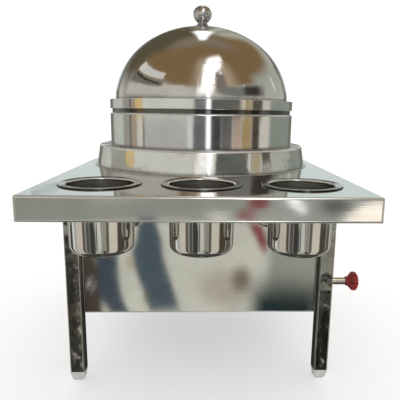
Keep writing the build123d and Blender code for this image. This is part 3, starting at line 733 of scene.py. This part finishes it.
def curve_place(p0, p1, p2, p3, t):
    """Place on the Catmull-Rom curve between p1 and p2."""
    bend = (3.0 * p1 - p0 - 3.0 * p2 + p3) * t + 2.0 * p0 - 5.0 * p1 + 4.0 * p2 - p3
    return 0.5 * ((bend * t + p2 - p0) * t + 2.0 * p1)


def band(name, path, colour, soft, ends=0.2, strength=1.0):
    """Upright band along (azimuth, elevation, half width) points, smoothed between them. Soft is the
    fading part of its half width and ends the fading part of its length."""
    points = [path[0], *path, path[-1]]
    line = []
    for i in range(1, len(points) - 2):
        for step in range(BAND_STEPS):
            line.append([curve_place(*places, step / BAND_STEPS) for places in zip(*points[i - 1:i + 3])])
    line.append(path[-1])
    columns = card_lines(-1, 1, soft)
    grid = []
    for i, (azimuth, elevation, half) in enumerate(line):
        t = i / (len(line) - 1)
        end_fade = smooth(min(t, 1.0 - t) / ends)
        grid.append([(azimuth + half * across, elevation, end_fade * fade) for across, fade in columns])
    hang(name, grid, colour, strength)


def blob(name, middle, half, colour, core=0.2):
    """Soft ellipse that fades from its core to its edge."""
    turns = [2.0 * math.pi * k / BLOB_SIDES for k in range(BLOB_SIDES + 1)]
    grid = []
    for i in range(2 * FADE_STEPS + 1):
        reach = i / (2 * FADE_STEPS)
        fade = 1.0 - smooth((reach - core) / (1.0 - core))
        wide = half[0] * reach
        tall = half[1] * reach
        grid.append([(middle[0] + wide * math.cos(turn), middle[1] + tall * math.sin(turn), fade)
                     for turn in turns])
    hang(name, grid, colour)


ALL_ROUND = (-180, 180)
EYE_LEVEL = (-8, 3.5)
COLLAR_LEVEL = (4, 12)
LIP_LEVEL = (-13.4, -8.5)
LOW_LEVEL = (-48, -13.5)
FAR_LOW_LEVEL = (-44, -10)
WHITE = (1.0, 1.0, 0.98)

# Shell of the room: ceiling, ground and wall
card("ceiling", ALL_ROUND, (5, 90), (0.27, 0.175, 0.085))
card("ground", ALL_ROUND, (-90, 5), (0.52, 0.51, 0.46))
card("wall", ALL_ROUND, (-12, 27), (0.62, 0.61, 0.57), (0, 9))

# Walls and lamps high up, in the dome
card("left_wall", (-132, -40), (-4, 32), (0.42, 0.42, 0.36), (12, 9))
card("pink_wall", (-100, -20), (7, 25), (0.78, 0.71, 0.62), (9, 5))
card("left_corner", (-204, -96), (6, 76), (0.125, 0.108, 0.07), (36, 20))
card("right_wall", (66, 166), (-4, 40), (0.52, 0.53, 0.46), (22, 14))
card("right_high", (150, 188), (10, 60), (0.52, 0.51, 0.44), (14, 13))
card("high_back", (95, 265), (54, 90), (0.285, 0.236, 0.172), (36, 18))
card("lamp_low", (-113, -54), (20, 31), (0.22, 0.20, 0.17), (2, 1.5), tilt=-0.06)
card("lamp_top", (-113, -56), (31, 42), (0.80, 0.79, 0.73), (2, 1.5), tilt=-0.03)
card("lamp_slot", (-110, -58), (27.5, 30.5), (0.02, 0.02, 0.02), (2, 0.8), tilt=-0.11)
card("window_glow", (-22, 58), (8, 80), (0.52, 0.42, 0.30), (22, 20))
band("window", [(2, 3, 13), (7, 30, 14), (13, 47, 18), (24, 62, 25), (42, 76, 30)], WHITE, 0.45, 0.22, 2.4)
card("back_window", (170, 189), (43, 74), WHITE, (6, 6), 1.9)
card("cupboard_glint", (56, 60), (17, 25), WHITE, (1.2, 2), 0.9)
card("shelf", (17, 36), (6, 52), (0.26, 0.215, 0.20), (5, 10))
card("low_shelf", (37, 57), (5, 14), (0.12, 0.11, 0.09), (4, 3))
card("shelf_glint", (26, 33), (42, 48), WHITE, (2, 2))
card("door_glint", (111, 115), (8, 28), WHITE, (1.2, 5))

# Eye-level strips, in the drum, the lid's band and the collar
cards((
    ("strip_pale_left", (-129, -111), (0.66, 0.69, 0.63), 2),
    ("strip_beige_left", (-111, -97), (0.40, 0.38, 0.33), 2),
    ("strip_dark_left", (-98, -94), (0.08, 0.07, 0.06), 1),
    ("strip_tan_left", (-94, -85), (0.46, 0.37, 0.29), 1),
    ("strip_cream_left", (-84, -75), (0.80, 0.75, 0.67), 1.5),
    ("strip_line_left", (-75.5, -72.5), (0.12, 0.10, 0.085), 0.8),
    ("strip_grey", (-73, -17), (0.56, 0.56, 0.545), 2),
    ("strip_white", (-18, -10), (0.84, 0.84, 0.84), 2.5),
    ("strip_slate", (-10.5, 5.5), (0.15, 0.16, 0.18), 1.2),
    ("strip_black", (10, 23), (0.045, 0.05, 0.06), 1.2),
    ("strip_iron", (22, 37), (0.16, 0.15, 0.145), 2),
    ("strip_pink", (37, 48), (0.58, 0.44, 0.35), 1.2),
    ("strip_gold", (48, 62), (0.46, 0.33, 0.15), 1.2),
    ("strip_brown", (62, 74), (0.07, 0.055, 0.04), 1.2),
    ("strip_cream", (74, 90), (0.74, 0.71, 0.62), 2),
    ("strip_green", (90, 150), (0.31, 0.34, 0.30), 3),
), EYE_LEVEL, 1)
card("strip_slit", (4.2, 11), (-8, 13), (0.95, 0.98, 1.0), (2.0, 2), 2.0)

# Things at arm's length, in the collar and by way of it in the table top
card("near_pale_left", (-110, -17), (12, 26), (0.64, 0.62, 0.55), (9, 3), near=True)
card("near_grey_right", (18, 84), (11, 28), (0.24, 0.24, 0.22), (9, 5), near=True)
card("cupboard", (46, 76), (11, 29), (0.06, 0.05, 0.04), (8, 6), near=True)
cards((
    ("collar_pale", (-76, -6), (0.80, 0.81, 0.73), 4),
    ("collar_gold", (-79, -66), (0.80, 0.58, 0.25), 2),
    ("collar_dark", (12, 42), (0.13, 0.145, 0.125), 3),
    ("collar_glint", (43, 47), (0.80, 0.77, 0.70), 1),
    ("collar_tan", (48, 57), (0.50, 0.42, 0.27), 2),
    ("collar_brown", (58, 70), (0.13, 0.11, 0.085), 2),
), COLLAR_LEVEL, 2, near=True)

# Behind the machine, in the table top
card("back_dark", (136, 224), (-9, 24), (0.20, 0.20, 0.175), (10, 4))
card("back_pale", (148, 212), (3.5, 15), (0.70, 0.775, 0.755), (6, 2))
card("corner_line", (196.2, 201.4), (8.35, 8.75), (0.03, 0.032, 0.03), (0.8, 0.12), tilt=0.19)

# Ground in front, in the table's lip
card("lip_left", (-30, 8), LIP_LEVEL, (0.36, 0.38, 0.335), (2, 0.6))
card("lip_right", (4, 24), LIP_LEVEL, (0.44, 0.46, 0.42), (4, 0.6))
blob("lip_pale", (-10, -10.4), (7, 1.2), (0.46, 0.47, 0.43))
blob("lip_glow", (2.2, -12.6), (2.6, 0.9), (0.85, 0.85, 0.80))
blob("lip_red_high", (7.5, -10.8), (2.2, 1.2), (0.27, 0.045, 0.05), 0.4)
blob("lip_red_low", (5.8, -12.4), (1.8, 1.0), (0.27, 0.045, 0.055), 0.4)
band("lip_white", [(11.4, -9.6, 0.7), (12.3, -10.8, 1.4), (13.6, -12.2, 0.5)], WHITE, 0.8, 0.35, 1.8)
blob("lip_dusk", (17.0, -10.9), (3.0, 1.5), (0.11, 0.12, 0.105))
band("lip_cream", [(22.6, -10, 1.0), (21.4, -11.2, 2.2), (20.4, -13.4, 4.0)], (0.98, 0.89, 0.79), 0.3,
     strength=1.6)

# Low down, behind and on the left
card("under_shade", ALL_ROUND, (-90, -46), (0.07, 0.068, 0.06), (0, 6))
card("low_back", (150, 210), (-48, -9.5), (0.05, 0.055, 0.048), (4, 2))
cards((
    ("far_door_left", (-147, -134), (0.30, 0.29, 0.26), 2),
    ("far_pale_left", (-132, -123), (0.70, 0.69, 0.64), 2),
), FAR_LOW_LEVEL, 2)
cards((
    ("low_dark_far_left", (-123, -105), (0.07, 0.065, 0.055), 2),
    ("low_white_left", (-105, -94), (0.92, 0.91, 0.87), 2),
    ("low_cream_left", (-84, -58), (0.72, 0.66, 0.57), 2),
    ("low_wall_left", (-57, -31), (0.115, 0.108, 0.097), 1.5),
    ("low_red_left", (-56.5, -51), (0.15, 0.06, 0.055), 1.2),
    ("low_grey_left", (-50, -41), (0.33, 0.32, 0.29), 2.5),
    ("low_dark_left", (-31, -14.3), (0.065, 0.06, 0.05), 1),
), LOW_LEVEL, 1)

# In the left leg
card("leg_dark_left", (-18.5, -14.3), (-40, -16), (0.042, 0.040, 0.032), (0.8, 1.5))
blob("leg_glint_high", (-15.6, -18.3), (0.45, 1.1), (0.50, 0.50, 0.46))
blob("leg_glint_middle", (-15.4, -21.0), (0.8, 0.9), (0.85, 0.87, 0.82))
blob("leg_brown", (-15.8, -24.6), (0.9, 1.6), (0.12, 0.095, 0.07))
blob("leg_glint_low", (-15.6, -27.2), (0.4, 1.2), (0.24, 0.24, 0.21))

# In the front panel
card("panel_pale", (-14.4, 13.6), (-28, -12.9), (0.74, 0.74, 0.65), (0.8, 1))
card("low_brown_left", (-15.6, -12.4), (-28, -15.5), (0.085, 0.065, 0.053), (0.5, 1.2))
blob("low_grey_patch", (-13.5, -18.1), (0.8, 0.9), (0.34, 0.34, 0.28))
band("low_glint_left", [(-13.6, -19.6, 0.12), (-14.1, -20.6, 0.22), (-14.5, -21.4, 0.1)], WHITE, 0.7, 0.4,
     strength=0.8)
band("low_glint_mid", [(-13.1, -20.2, 0.1), (-13.6, -21.2, 0.18), (-13.9, -21.9, 0.08)], WHITE, 0.7, 0.4,
     strength=0.55)
blob("panel_beige", (3.2, -21.6), (5.0, 3.2), (0.58, 0.53, 0.43), 0.3)
blob("panel_blotch", (5.4, -20.5), (2.1, 2.4), (0.25, 0.205, 0.15))
card("panel_grey", (8.2, 16), (-24, -13), (0.40, 0.41, 0.35), (1.4, 1))
band("blue_left", [(-11.8, -15, 1.4), (-11.75, -18, 1.4), (-11.7, -20.5, 1.45), (-11.4, -22.4, 1.5),
                   (-10.2, -24.8, 1.3)], (0.07, 0.092, 0.12), 0.25, 0.08)
band("blue_right", [(-6.8, -12.8, 1.1), (-6.6, -15.7, 1.9), (-6.8, -17.7, 2.3), (-5.95, -20.5, 2.4),
                    (-4.4, -24.8, 2.2)], (0.085, 0.118, 0.15), 0.25, 0.08)
blob("panel_olive", (-7.0, -22.6), (0.6, 1.1), (0.16, 0.17, 0.10))
blob("panel_straw", (-9.0, -18.4), (0.8, 1.3), (0.58, 0.49, 0.34))
band("red_streak", [(6.4, -12.8, 1.0), (7.3, -14.4, 1.2), (8.0, -15.8, 1.0), (8.4, -18, 0.3)],
     (0.27, 0.05, 0.06), 0.6, 0.3)
card("dark_mat", (5.5, 17), (-32, -18.6), (0.025, 0.04, 0.042), (3, 4.6))

# In the right leg, then on round to the back
card("low_dark_right", (14.6, 24), (-48, -19.5), (0.018, 0.02, 0.016), (1, 1.5))
card("low_beige_right", (14.6, 24), (-20.5, -13.5), (0.36, 0.34, 0.28), (1, 1.2))
blob("leg_streak", (16.4, -23.4), (0.4, 1.6), (0.42, 0.38, 0.30))
blob("leg_patch", (15.4, -18.6), (0.5, 0.9), (0.06, 0.06, 0.05))
cards((
    ("low_brown_right", (24, 35), (0.15, 0.13, 0.10), 2),
    ("low_cream_right", (35, 64), (0.78, 0.72, 0.60), 2),
    ("low_door_right", (65, 96), (0.09, 0.075, 0.052), 2),
    ("low_dusk_right", (97, 118), (0.12, 0.115, 0.09), 2),
), LOW_LEVEL, 1)
cards((
    ("far_pale_right", (120, 128), (0.72, 0.71, 0.66), 2),
    ("far_door_right", (130, 142), (0.26, 0.25, 0.22), 2),
), FAR_LOW_LEVEL, 2)

# Floor and soft light
FLOOR_REACH = 6.0
FLOOR_GLOW = 0.46
SKY_STRENGTH = 1.12
floor_corners = [(-FLOOR_REACH, -FLOOR_REACH, 0), (FLOOR_REACH, -FLOOR_REACH, 0),
                 (FLOOR_REACH, FLOOR_REACH, 0), (-FLOOR_REACH, FLOOR_REACH, 0)]
floor_mesh = bpy.data.meshes.new("floor")
floor_mesh.from_pydata(floor_corners, [], [(0, 1, 2, 3)])
floor_paint = plain("floor_paint", (0.52, 0.52, 0.515), (0.54, 0.54, 0.535), 0.6, grain=90.0)
tune(floor_paint, "Emission Color", (1.0, 1.0, 1.0, 1.0))
tune(floor_paint, "Emission Strength", FLOOR_GLOW)
floor_mesh.materials.append(floor_paint)
floor = bpy.data.objects.new("floor", floor_mesh)
scene.collection.objects.link(floor)
floor.visible_glossy = False

world = bpy.data.worlds.new("studio")
scene.world = world
world.use_nodes = True
sky = world.node_tree.nodes["Background"]
sky.inputs["Color"].default_value = (1.0, 1.0, 1.0, 1.0)
sky.inputs["Strength"].default_value = SKY_STRENGTH
scene.view_settings.view_transform = "Standard"

# Camera at the photograph's place
CAMERA_PLACE = Vector((-0.0022, -0.8624, 0.4549))
PITCH = 0.20189
YAW = -0.04469
ROLL = 0.01546
FOCAL_PX = 464.57
CENTRE_PX = (220.508, 206.956)
FRAME_PX = 400.0
SENSOR_MM = 36.0
CLIP_END = 100.0
level_right = Vector((math.cos(YAW), math.sin(YAW), 0.0))
level_ahead = Vector((-math.sin(YAW), math.cos(YAW), 0.0))
ahead = math.cos(PITCH) * level_ahead - math.sin(PITCH) * Z
above = math.sin(PITCH) * level_ahead + math.cos(PITCH) * Z
right = math.cos(ROLL) * level_right + math.sin(ROLL) * above
up = -math.sin(ROLL) * level_right + math.cos(ROLL) * above
camera_data = bpy.data.cameras.new("camera")
camera_data.sensor_width = SENSOR_MM
camera_data.lens = FOCAL_PX / FRAME_PX * SENSOR_MM
camera_data.shift_x = -(CENTRE_PX[0] - FRAME_PX / 2) / FRAME_PX
camera_data.shift_y = (CENTRE_PX[1] - FRAME_PX / 2) / FRAME_PX
camera_data.clip_end = CLIP_END
camera = bpy.data.objects.new("camera", camera_data)
scene.collection.objects.link(camera)
turned = Matrix((right, up, -ahead)).transposed().to_4x4()
camera.matrix_world = Matrix.Translation(CAMERA_PLACE) @ turned
scene.camera = camera
